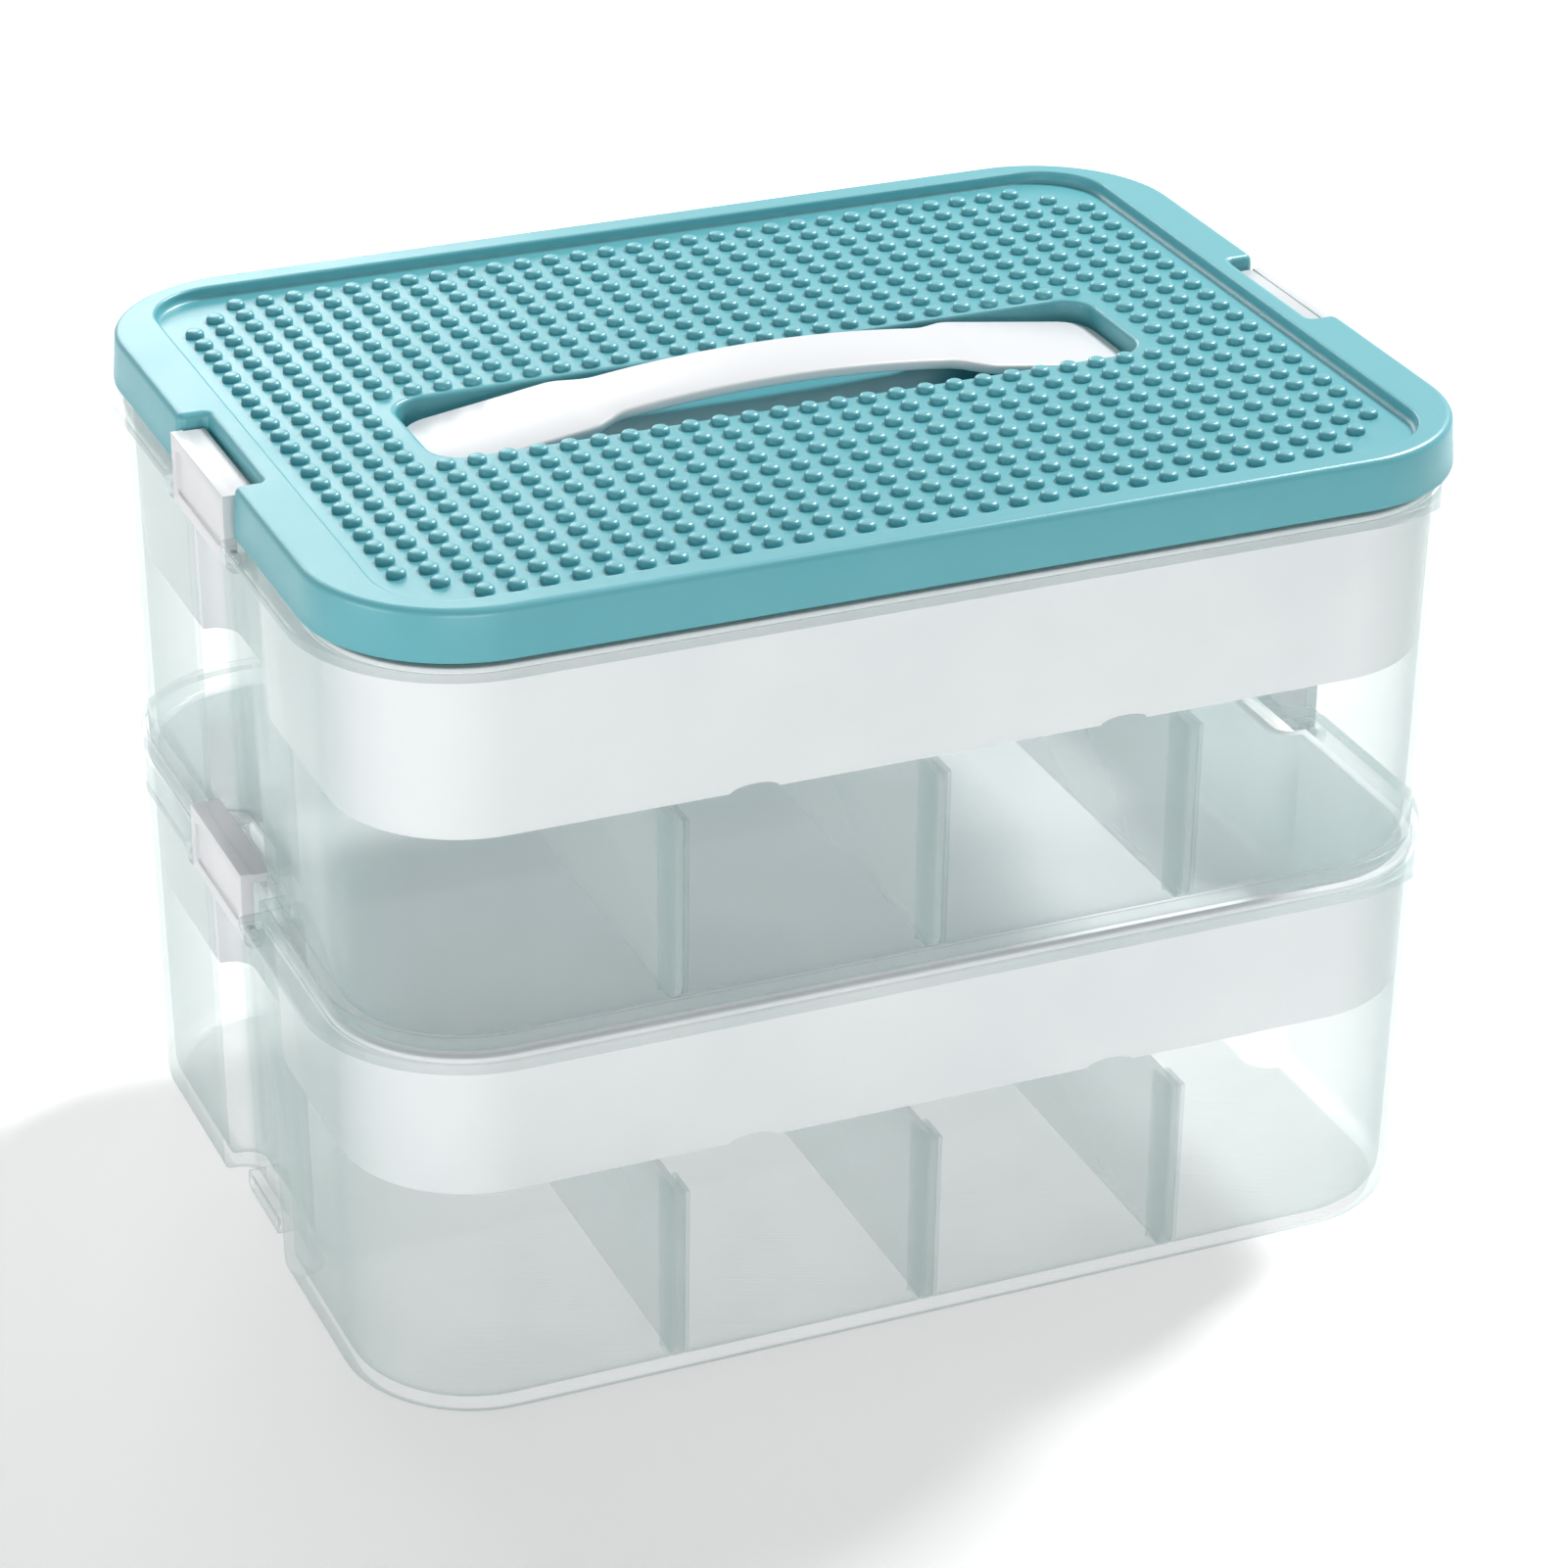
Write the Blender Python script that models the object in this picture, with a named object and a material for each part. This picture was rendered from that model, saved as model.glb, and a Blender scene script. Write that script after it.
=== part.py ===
"""Two-tier storage box for building blocks.

Two clear boxes nest one on the other. Each has a lift-out tray hung on a ledge inside its rim,
three loose dividers between guide ribs, and a hinged latch in a channel at either end. A studded
lid closes the upper box, and a bowed carrying strap sits in a well along its middle.

X runs along the length, Y from front (-Y) to back, Z up. The origin is on the floor under the middle.
"""

import math
from typing import NamedTuple

import bmesh
import bpy

# General fits
CLEARANCE = 0.0003          # gap between neighbouring pieces
BITE = 0.0003               # how far a joined shape runs into what carries it
OVERRUN = 0.0010            # how far a cutter runs past the face that it opens
LEAST_RADIUS = 0.0003       # smallest corner that an offset outline keeps

# Clear box: outer wall at the flange, measured from the centre lines
TIER_PITCH = 0.1030         # one box stands this much above the other
WALL_HALF_X = 0.1482
WALL_HALF_Y = 0.1110
WALL_CORNER = 0.0370
MOUTH_STEP = 0.0010         # the flange's underside below the foot of the box above
WALL_DRAFT = 0.0018         # how much further in the foot is than the top
WALL_THICK = 0.0022
FLOOR_THICK = 0.0025
FOOT_RADIUS = 0.0040
INNER_RADIUS = 0.0050       # where the wall meets the floor inside

# Channel down the middle of each end
CHANNEL_HALF_Y = 0.0242
CHANNEL_DEPTH = 0.0077
CHANNEL_MOUTH_RADIUS = 0.0008
CHANNEL_FLOOR_RADIUS = 0.0030

# Flange and upstand round the box's mouth
FLANGE_REACH = 0.0054
FLANGE_LIP = 0.0026
FLANGE_RISE = 0.0006
FLANGE_RIDGE = 0.0013       # what is left of the flange inside the channel
FLANGE_END_RADIUS = 0.0015
UPSTAND_STEP = 0.0003
UPSTAND_THICK = 0.0014
UPSTAND_RISE = 0.0039       # from the flange to the top of the box

# Dividers and their guide ribs
COMPARTMENT_PITCH = 0.0684
DIVIDER_GAP = 0.0042        # between the dividers and the deeper tray
DIVIDER_THICK = 0.0018
GUIDE_THICK = 0.0011
GUIDE_DEPTH = 0.0095

# Keeper tab at the foot of each channel, which the latch below closes over
TAB_HALF_Y = 0.01375
TAB_TOP = 0.0090
TAB_REACH = 0.0048
TAB_CORNER = 0.0040
TAB_LIP = 0.0016
TAB_POCKET = 0.0010

# Tray
TRAY_RIM_THICK = 0.0012
TRAY_WALL = 0.0016
TRAY_FLOOR = 0.0018
TRAY_TAPER = 0.0004         # beyond the box's own draft
TRAY_INNER_RADIUS = 0.0040
TRAY_EDGE_RADIUS = 0.0010
TRAY_FOOT_RIM = 0.0025
TRAY_ARCH_X = 0.0490
TRAY_ARCH_HALF = 0.0065
TRAY_ARCH_RISE = 0.0020
UPPER_TRAY_DEPTH = 0.0456
LOWER_TRAY_DEPTH = 0.0394

# Latch: a hinged plate with a hook along its top
LATCH_HALF_Y = 0.0216
LATCH_THICK = 0.0032
LATCH_PROUD = 0.0038        # how far its face stands out from the wall
LATCH_DROP = 0.0050         # below the flange's underside
LATCH_RISE = 0.0133         # above the flange's underside
HOOK_STEP = 0.0010
HOOK_THICK = 0.0018
HOOK_REACH = 0.0048
FACE_RECESS = 0.0008
FACE_FRAME = 0.0036
PIN_RADIUS = 0.0015
PIN_LENGTH = 0.0020
PIN_INSET = 0.0018          # pin axis in from the latch's face
PIN_LIFT = 0.0025           # pin axis up from the latch's bottom
LUG_THICK = 0.0040
LUG_WALL = 0.0011           # plastic round the pin's hole

# Lid
SKIRT_THICK = 0.0016
SKIRT_DRAFT = 0.0007
LID_HEIGHT = 0.0130
LID_EDGE_RADIUS = 0.0018
RIM_THICK = 0.0023
RIM_WIDTH_X = 0.0137        # from the top edge in to the studded field
RIM_WIDTH_Y = 0.0080
FIELD_CORNER = 0.0190
FIELD_DEPTH = 0.0032
PLATE_THICK = 0.0022

# Studs on the lid, round on the real one
STUD_PITCH = 0.0080
STUD_RADIUS = 0.00245
STUD_RISE = 0.0017
STUDLESS_CORNER = 1         # how many rows and columns from a corner still have no stud

# Well for the carrying strap
WELL_HALF_X = 0.0965
WELL_HALF_Y = 0.0200
WELL_CORNER = 0.0090
WELL_EDGE = 0.0012
PEG_RADIUS = 0.0025
PEG_INSET = 0.0105          # the pegs' middles in from the well's ends
PEG_Y = 0.0090
PEG_HOLE_DEPTH = 0.0014

# Carrying strap
STRAP_ARCH_RADIUS = 0.3500
STRAP_ARCH_HALF = 0.0500    # where the arch runs out into straight ends
STRAP_CROWN = 0.0017        # above the lid's rim at the middle
STRAP_THICK = 0.0028
STRAP_HALF_Y = 0.0120
PAD_HALF_Y = 0.0165
PAD_CORNER = 0.0080
SHOULDER_RADIUS = 0.0050

# How finely curves are drawn, in straight runs to a quarter turn
CORNER_STEPS = 6
CHANNEL_STEPS = 2
EDGE_STEPS = 2
ROUND_SIDES = 12
SMOOTH_ANGLE = 30           # faces that meet at a smaller angle are shaded as one

# Finish of each material: colour, roughness
CLEAR = ((0.86, 0.93, 0.90, 1.0), 0.25)
WHITE = ((0.90, 0.92, 0.93, 1.0), 0.35)
SATIN = ((0.83, 0.87, 0.90, 1.0), 0.45)
TEAL = ((0.18, 0.47, 0.49, 1.0), 0.40)


def turned(centre_x, centre_y, radius, start, end, steps):
    """Points of an arc, from one angle to another in degrees."""
    angles = [math.radians(start + (end - start) * step / steps) for step in range(steps + 1)]
    return [(centre_x + radius * math.cos(angle), centre_y + radius * math.sin(angle)) for angle in angles]


def all_round(quarter):
    """A whole outline from the points of its first quarter."""
    second = [(-x, y) for x, y in reversed(quarter)]
    third = [(-x, -y) for x, y in quarter]
    fourth = [(x, -y) for x, y in reversed(quarter)]
    return quarter + second + third + fourth


def rounded_corner(plan):
    """Points of a plan's corner, from its end to its side."""
    return turned(plan.half_x - plan.corner, plan.half_y - plan.corner, plan.corner, 0, 90, CORNER_STEPS)


class Plan(NamedTuple):
    """A rounded rectangle with a channel in the middle of each end."""

    half_x: float
    half_y: float
    corner: float
    channel_y: float
    channel_x: float
    mouth: float
    hollow: float

    def grown(self, by):
        """The same outline moved outwards all round."""
        return Plan(
            self.half_x + by,
            self.half_y + by,
            self.corner + by,
            self.channel_y - by,
            self.channel_x + by,
            max(self.mouth + by, LEAST_RADIUS),
            max(self.hollow - by, LEAST_RADIUS),
        )

    def outline(self):
        end, side, edge = self.channel_x, self.channel_y, self.half_x
        hollow = min(self.hollow, edge - self.mouth - end - LEAST_RADIUS)
        floor = turned(end + hollow, side - hollow, hollow, 180, 90, CHANNEL_STEPS)
        mouth = turned(edge - self.mouth, side + self.mouth, self.mouth, -90, 0, CHANNEL_STEPS)
        return all_round(floor + mouth + rounded_corner(self))


class Plain(NamedTuple):
    """A rounded rectangle with as many points as a Plan, its ends straight past end_y."""

    half_x: float
    half_y: float
    corner: float
    end_y: float
    end_step: float

    def grown(self, by):
        return self._replace(half_x=self.half_x + by, half_y=self.half_y + by, corner=self.corner + by)

    def outline(self):
        count = 2 * (CHANNEL_STEPS + 1)
        end = [(self.half_x, self.end_y + self.end_step * step / count) for step in range(count)]
        return all_round(end + rounded_corner(self))


WALL = Plan(
    WALL_HALF_X,
    WALL_HALF_Y,
    WALL_CORNER,
    CHANNEL_HALF_Y,
    WALL_HALF_X - CHANNEL_DEPTH,
    CHANNEL_MOUTH_RADIUS,
    CHANNEL_FLOOR_RADIUS,
)
UPSTAND_OUTER = WALL.grown(UPSTAND_STEP)
UPSTAND_INNER = UPSTAND_OUTER.grown(-UPSTAND_THICK)
SKIRT_INNER = UPSTAND_OUTER.grown(CLEARANCE)
SKIRT_OUTER = SKIRT_INNER.grown(SKIRT_THICK)
LID_TOP_PLAN = SKIRT_OUTER.grown(-SKIRT_DRAFT)
FIELD_PLAN = Plain(
    LID_TOP_PLAN.half_x - RIM_WIDTH_X,
    LID_TOP_PLAN.half_y - RIM_WIDTH_Y,
    FIELD_CORNER,
    SKIRT_INNER.channel_y + CHANNEL_FLOOR_RADIUS,
    CHANNEL_FLOOR_RADIUS,
)

# Heights within one tier, from the box's foot
WALL_TOP = TIER_PITCH - MOUTH_STEP      # underside of the flange
FLANGE_TOP = WALL_TOP + FLANGE_LIP + FLANGE_RISE
BOX_TOP = FLANGE_TOP + UPSTAND_RISE
TRAY_TOP = TIER_PITCH - CLEARANCE
TRAY_RIM_BOTTOM = TRAY_TOP - TRAY_RIM_THICK
LEDGE = TRAY_RIM_BOTTOM - CLEARANCE
DIVIDER_TOP = TRAY_TOP - max(UPPER_TRAY_DEPTH, LOWER_TRAY_DEPTH) - DIVIDER_GAP
SKIRT_BOTTOM = FLANGE_TOP + CLEARANCE
SLOT_BOTTOM = FLANGE_TOP + BITE
TAB_BOTTOM = SLOT_BOTTOM + CLEARANCE - TIER_PITCH

# Heights within the lid, from the skirt's bottom edge
FIELD = LID_HEIGHT - FIELD_DEPTH
PLATE_BOTTOM = FIELD - PLATE_THICK
ARCH_DROP = STRAP_ARCH_RADIUS - math.sqrt(STRAP_ARCH_RADIUS**2 - STRAP_ARCH_HALF**2)
ARCH_SLOPE = STRAP_ARCH_HALF / math.sqrt(STRAP_ARCH_RADIUS**2 - STRAP_ARCH_HALF**2)
STRAP_TOP = LID_HEIGHT + STRAP_CROWN
STRAP_END_X = WELL_HALF_X - CLEARANCE
PEG_X = WELL_HALF_X - PEG_INSET


def strap_height(x):
    """Height of the strap's top face in the lid: an arch that runs straight down into the well."""
    if abs(x) <= STRAP_ARCH_HALF:
        return STRAP_TOP - STRAP_ARCH_RADIUS + math.sqrt(STRAP_ARCH_RADIUS**2 - x**2)
    return STRAP_TOP - ARCH_DROP - ARCH_SLOPE * (abs(x) - STRAP_ARCH_HALF)


WELL_FLOOR = strap_height(STRAP_END_X) - STRAP_THICK - CLEARANCE

# Latch hinge, from the centre of the box and its foot
LATCH_FACE = WALL_HALF_X + LATCH_PROUD
PIN_X = LATCH_FACE - PIN_INSET
PIN_Z = WALL_TOP - LATCH_DROP + PIN_LIFT
LUG_START = LATCH_HALF_Y + CLEARANCE


def tidy_scene():
    for thing in list(bpy.data.objects):
        bpy.data.objects.remove(thing)


def collection(name):
    made = bpy.data.collections.new(name)
    bpy.context.scene.collection.children.link(made)
    return made


def finish_of(name, finish):
    """A Principled material in the piece's own colour."""
    colour, roughness = finish
    made = bpy.data.materials.new(name)
    made.use_nodes = True
    shader = made.node_tree.nodes["Principled BSDF"]
    shader.inputs["Base Color"].default_value = colour
    shader.inputs["Roughness"].default_value = roughness
    shader.inputs["Metallic"].default_value = 0
    return made


def placed(name, bm, home, location=(0, 0, 0), turn=0, finish=None):
    """Make the mesh an object: a piece with a finish, or a cutter without one."""
    bmesh.ops.recalc_face_normals(bm, faces=bm.faces)
    mesh = bpy.data.meshes.new(name)
    bm.to_mesh(mesh)
    bm.free()
    thing = bpy.data.objects.new(name, mesh)
    thing.location = location
    thing.rotation_euler.z = turn
    home.objects.link(thing)
    if finish:
        mesh.materials.append(finish_of(name, finish))
        mesh.shade_smooth()
        mesh.set_sharp_from_angle(angle=math.radians(SMOOTH_ANGLE))
    else:
        thing.hide_render = True
        thing.display_type = "WIRE"
    return thing


def carve(piece, tool, operation):
    """Join the tool to the piece, or cut it away."""
    tool.location = piece.location
    tool.rotation_euler = piece.rotation_euler
    step = piece.modifiers.new(tool.name, "BOOLEAN")
    step.operation = operation
    step.object = tool


def loft(bm, sections):
    """A closed solid through outlines of equal count, each with its height."""
    rings = [[bm.verts.new((x, y, z)) for x, y in plan.outline()] for plan, z in sections]
    for lower, upper in zip(rings, rings[1:]):
        for index, corner in enumerate(lower):
            bm.faces.new((lower[index - 1], corner, upper[index], upper[index - 1]))
    bm.faces.new(reversed(rings[0]))
    bm.faces.new(rings[-1])


def prism(bm, outline, axis, start, end):
    """The outline, drawn across an axis, extruded along it."""
    place = {
        "X": lambda u, v: (start, u, v),
        "Y": lambda u, v: (u, start, v),
        "Z": lambda u, v: (u, v, start),
    }
    along = {"X": (end - start, 0, 0), "Y": (0, end - start, 0), "Z": (0, 0, end - start)}
    face = bm.faces.new([bm.verts.new(place[axis](u, v)) for u, v in outline])
    grown = bmesh.ops.extrude_face_region(bm, geom=[face])["geom"]
    ends = [part for part in grown if isinstance(part, bmesh.types.BMVert)]
    bmesh.ops.translate(bm, verts=ends, vec=along[axis])


def block(left, right, low, high):
    """The outline of a rectangle."""
    return [(left, low), (right, low), (right, high), (left, high)]


def pill(centre_u, centre_v, radius):
    """The outline of a round pin, hole or peg."""
    return turned(centre_u, centre_v, radius, 0, 360, ROUND_SIDES)[:-1]


def edge_arc(radius, steps=EDGE_STEPS):
    """Inset and height of the points of a rounded edge, from its flat to its wall."""
    angles = [math.radians(90 * step / steps) for step in range(steps + 1)]
    return [(radius * (1 - math.sin(angle)), radius * (1 - math.cos(angle))) for angle in angles]


def flared_edge(radius, steps=EDGE_STEPS):
    """Outset and height of the points of a rounded rim, from the wall below it to the top."""
    angles = [math.radians(90 * step / steps) for step in range(steps + 1)]
    return [(radius * (1 - math.cos(angle)), radius * math.sin(angle)) for angle in angles]


def wall_at(z):
    """Outer outline of the box's wall at a height."""
    return WALL.grown(-WALL_DRAFT * (1 - z / WALL_TOP))


def inside_at(z):
    return wall_at(z).grown(-WALL_THICK)


def box_shell(bm):
    flange = Plan(
        WALL_HALF_X + FLANGE_REACH,
        WALL_HALF_Y + FLANGE_REACH,
        WALL_CORNER + FLANGE_REACH,
        LUG_START + BITE,
        WALL.channel_x + FLANGE_RIDGE,
        FLANGE_END_RADIUS,
        CHANNEL_FLOOR_RADIUS - FLANGE_RIDGE,
    )
    foot = [(wall_at(z).grown(-inset), z) for inset, z in edge_arc(FOOT_RADIUS)]
    hollow = [
        (inside_at(FLOOR_THICK + z).grown(-inset), FLOOR_THICK + z)
        for inset, z in edge_arc(INNER_RADIUS)
    ]
    rim = [
        (WALL, WALL_TOP),
        (flange, WALL_TOP),
        (flange, WALL_TOP + FLANGE_LIP),
        (UPSTAND_OUTER, FLANGE_TOP),
        (UPSTAND_OUTER, BOX_TOP),
        (UPSTAND_INNER, BOX_TOP),
        (UPSTAND_INNER, LEDGE),
        (inside_at(LEDGE), LEDGE),
    ]
    loft(bm, foot + rim + hollow[::-1])


def guide_ribs(bm):
    """Pairs of ribs up the front and back walls, a divider's thickness apart."""
    slot = DIVIDER_THICK / 2 + CLEARANCE
    wall = inside_at(DIVIDER_TOP).half_y
    for share in (-1, 0, 1):
        for side in (-1, 1):
            near = share * COMPARTMENT_PITCH + side * slot
            far = near + side * GUIDE_THICK
            for face in (-1, 1):
                outline = block(near, far, FLOOR_THICK - BITE, DIVIDER_TOP)
                prism(bm, outline, "Y", face * (wall - GUIDE_DEPTH), face * (wall + BITE))


def tab_outline(inset, top):
    """The keeper tab's front, square above and rounded below."""
    half = TAB_HALF_Y - inset
    low = TAB_BOTTOM + inset
    corner = TAB_CORNER - inset
    right = turned(half - corner, low + corner, corner, -90, 0, CHANNEL_STEPS) + [(half, top)]
    return right + [(-y, z) for y, z in reversed(right)]


def tab_face():
    return wall_at(TAB_TOP).channel_x + TAB_REACH


def keeper_tabs(bm):
    for end in (-1, 1):
        root = wall_at(0).grown(-FOOT_RADIUS).channel_x
        prism(bm, tab_outline(0, TAB_TOP), "X", end * root, end * tab_face())


def tab_pockets(bm):
    """A shallow pocket that leaves a raised lip round the tab's sides and bottom."""
    pocket = tab_outline(TAB_LIP, TAB_TOP + OVERRUN)
    for end in (-1, 1):
        prism(bm, pocket, "X", end * (tab_face() - TAB_POCKET), end * (tab_face() + OVERRUN))


def upstand_slots(bm):
    """Gaps in the upstand where the keeper tabs of the box above pass down the channel."""
    half = TAB_HALF_Y + CLEARANCE
    for end in (-1, 1):
        near = UPSTAND_INNER.channel_x - OVERRUN
        far = UPSTAND_OUTER.channel_x + OVERRUN
        prism(bm, block(-half, half, SLOT_BOTTOM, BOX_TOP + OVERRUN), "X", end * near, end * far)


def latch_lugs(bm):
    """Ears under the flange that hold the latch's pins."""
    radius = PIN_RADIUS + CLEARANCE + LUG_WALL
    root = min(WALL_HALF_X, PIN_X - radius) - BITE
    top = WALL_TOP + BITE
    bottom = turned(PIN_X, PIN_Z, radius, 180, 360, ROUND_SIDES // 2)
    outline = [(root, top), (root, PIN_Z)] + bottom + [(PIN_X + radius, top)]
    for end in (-1, 1):
        ear = [(end * x, z) for x, z in outline]
        for side in (-1, 1):
            prism(bm, ear, "Y", side * LUG_START, side * (LUG_START + LUG_THICK))


def pin_holes(bm):
    reach = LATCH_HALF_Y + PIN_LENGTH + CLEARANCE
    for end in (-1, 1):
        for side in (-1, 1):
            hole = pill(end * PIN_X, PIN_Z, PIN_RADIUS + CLEARANCE)
            prism(bm, hole, "Y", side * (LUG_START - OVERRUN), side * reach)


def make_box(tier, base, parts, cutters):
    bm = bmesh.new()
    box_shell(bm)
    box = placed(tier + "_box", bm, parts, (0, 0, base), finish=CLEAR)
    joined = bmesh.new()
    for add in (guide_ribs, keeper_tabs, latch_lugs):
        add(joined)
    carve(box, placed(tier + "_box_joined", joined, cutters), "UNION")
    cut = bmesh.new()
    for add in (tab_pockets, upstand_slots, pin_holes):
        add(cut)
    carve(box, placed(tier + "_box_cut", cut, cutters), "DIFFERENCE")


def make_dividers(tier, base, parts):
    """Plates whose lower corners follow the box's inner edge."""
    side = [
        (inside_at(FLOOR_THICK + z).half_y - inset - CLEARANCE, FLOOR_THICK + z + CLEARANCE)
        for inset, z in edge_arc(INNER_RADIUS)
    ]
    side.append((inside_at(DIVIDER_TOP).half_y - CLEARANCE, DIVIDER_TOP))
    outline = side + [(-y, z) for y, z in reversed(side)]
    for place, share in (("left", -1), ("middle", 0), ("right", 1)):
        bm = bmesh.new()
        prism(bm, outline, "X", -DIVIDER_THICK / 2, DIVIDER_THICK / 2)
        home = (share * COMPARTMENT_PITCH, 0, base)
        placed(tier + "_divider_" + place, bm, parts, home, finish=CLEAR)


def make_tray(tier, base, depth, parts, cutters):
    bottom = TRAY_TOP - depth
    floor = bottom + TRAY_FOOT_RIM + TRAY_FLOOR

    def outside(z):
        taper = TRAY_TAPER * (TRAY_RIM_BOTTOM - z) / (TRAY_RIM_BOTTOM - bottom)
        return inside_at(z).grown(-CLEARANCE - taper)

    under = outside(bottom).grown(-TRAY_WALL)
    sections = [(under, bottom + TRAY_FOOT_RIM), (under, bottom)]
    sections += [
        (outside(bottom).grown(-TRAY_EDGE_RADIUS), bottom),
        (outside(bottom + TRAY_EDGE_RADIUS), bottom + TRAY_EDGE_RADIUS),
        (outside(TRAY_RIM_BOTTOM), TRAY_RIM_BOTTOM),
        (UPSTAND_INNER.grown(-CLEARANCE), TRAY_RIM_BOTTOM),
        (UPSTAND_INNER.grown(-CLEARANCE), TRAY_TOP),
        (outside(TRAY_RIM_BOTTOM).grown(-TRAY_WALL), TRAY_TOP),
    ]
    hollow = [
        (outside(floor + z).grown(-TRAY_WALL - inset), floor + z)
        for inset, z in edge_arc(TRAY_INNER_RADIUS)
    ]
    bm = bmesh.new()
    loft(bm, sections + hollow[::-1])
    tray = placed(tier + "_tray", bm, parts, (0, 0, base), finish=SATIN)
    arches = bmesh.new()
    arch = turned(0, 0, 1, 0, 180, ROUND_SIDES // 2)
    start = bottom - OVERRUN
    rise = TRAY_ARCH_RISE + OVERRUN
    for side in (-1, 1):
        centre = side * TRAY_ARCH_X
        outline = [(centre + u * TRAY_ARCH_HALF, start + v * rise) for u, v in arch]
        prism(arches, outline, "Y", -WALL_HALF_Y, WALL_HALF_Y)
    carve(tray, placed(tier + "_tray_arches", arches, cutters), "DIFFERENCE")


def make_latches(tier, base, parts, cutters):
    """Each latch is drawn about its pin, for the right-hand end, and turned for the left."""
    face = LATCH_FACE - PIN_X
    back = face - LATCH_THICK
    low = -PIN_LIFT
    high = WALL_TOP + LATCH_RISE - PIN_Z
    hook = high - HOOK_STEP
    outline = [
        (back, low),
        (face, low),
        (face, high),
        (back, high),
        (back, hook),
        (back - HOOK_REACH, hook),
        (back - HOOK_REACH, hook - HOOK_THICK),
        (back, hook - HOOK_THICK),
    ]
    for place, end in (("left", -1), ("right", 1)):
        name = tier + "_latch_" + place
        bm = bmesh.new()
        prism(bm, outline, "Y", -LATCH_HALF_Y, LATCH_HALF_Y)
        home = (end * PIN_X, 0, base + PIN_Z)
        latch = placed(name, bm, parts, home, turn=math.pi * (end < 0), finish=WHITE)
        pins = bmesh.new()
        for side in (-1, 1):
            start = side * (LATCH_HALF_Y - BITE)
            prism(pins, pill(0, 0, PIN_RADIUS), "Y", start, side * (LATCH_HALF_Y + PIN_LENGTH))
        carve(latch, placed(name + "_pins", pins, cutters), "UNION")
        recess = bmesh.new()
        half = LATCH_HALF_Y - FACE_FRAME
        front = block(-half, half, low + FACE_FRAME, high - FACE_FRAME)
        prism(recess, front, "X", face - FACE_RECESS, face + OVERRUN)
        carve(latch, placed(name + "_recess", recess, cutters), "DIFFERENCE")


def lid_shell(bm):
    below = FIELD_PLAN.grown(PLATE_THICK)
    edge = [(LID_TOP_PLAN.grown(-inset), LID_HEIGHT - z) for inset, z in edge_arc(LID_EDGE_RADIUS)]
    sections = [
        (below, PLATE_BOTTOM),
        (below, LID_HEIGHT - RIM_THICK),
        (SKIRT_INNER, LID_HEIGHT - RIM_THICK),
        (SKIRT_INNER, 0),
        (SKIRT_OUTER, 0),
    ]
    sections += edge[::-1]
    sections += [(FIELD_PLAN, LID_HEIGHT), (FIELD_PLAN, FIELD)]
    loft(bm, sections)


class Pocket(NamedTuple):
    """A plain rounded rectangle."""

    half_x: float
    half_y: float
    corner: float

    def grown(self, by):
        return Pocket(self.half_x + by, self.half_y + by, self.corner + by)

    def outline(self):
        return all_round(rounded_corner(self))


def strap_pegs():
    """Places of the pegs that locate the strap's ends."""
    return [(side * PEG_X, face * PEG_Y) for side in (-1, 1) for face in (-1, 1)]


def peg_top():
    return strap_height(PEG_X) - STRAP_THICK + PEG_HOLE_DEPTH - CLEARANCE


def stud_places():
    """Middles of the studs: a grid over the field, less its corners and the strap's well."""
    columns = int((FIELD_PLAN.half_x - STUD_RADIUS) / STUD_PITCH)
    rows = int((FIELD_PLAN.half_y - STUD_RADIUS) / STUD_PITCH)
    beside_well = WELL_EDGE + STUD_RADIUS
    places = []
    for column in range(-columns, columns + 1):
        for row in range(-rows, rows + 1):
            x, y = column * STUD_PITCH, row * STUD_PITCH
            in_well = abs(x) < WELL_HALF_X + beside_well and abs(y) < WELL_HALF_Y + beside_well
            from_corner = columns - abs(column) + rows - abs(row)
            if from_corner > STUDLESS_CORNER and not in_well:
                places.append((x, y))
    return places


def lid_studs(bm):
    """Studs as square blocks of the round ones' area, to keep the lid's faces few."""
    half = STUD_RADIUS * math.sqrt(math.pi) / 2
    for x, y in stud_places():
        outline = block(x - half, x + half, y - half, y + half)
        prism(bm, outline, "Z", FIELD - BITE, FIELD + STUD_RISE)


def make_lid(base, parts, cutters):
    bm = bmesh.new()
    lid_shell(bm)
    lid = placed("lid", bm, parts, (0, 0, base), finish=TEAL)
    well = Pocket(WELL_HALF_X, WELL_HALF_Y, WELL_CORNER)
    tub = bmesh.new()
    prism(tub, well.grown(PLATE_THICK).outline(), "Z", WELL_FLOOR - PLATE_THICK, PLATE_BOTTOM + BITE)
    carve(lid, placed("lid_tub", tub, cutters), "UNION")
    hollow = bmesh.new()
    rounded = [(well.grown(rise), FIELD - WELL_EDGE + run) for rise, run in flared_edge(WELL_EDGE)]
    loft(hollow, [(well, WELL_FLOOR)] + rounded + [(well.grown(WELL_EDGE), FIELD + OVERRUN)])
    carve(lid, placed("lid_well", hollow, cutters), "DIFFERENCE")
    pegs = bmesh.new()
    for x, y in strap_pegs():
        prism(pegs, pill(x, y, PEG_RADIUS), "Z", WELL_FLOOR - BITE, peg_top())
    carve(lid, placed("lid_pegs", pegs, cutters), "UNION")
    studs = bmesh.new()
    lid_studs(studs)
    carve(lid, placed("lid_studs", studs, cutters), "UNION")


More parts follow.
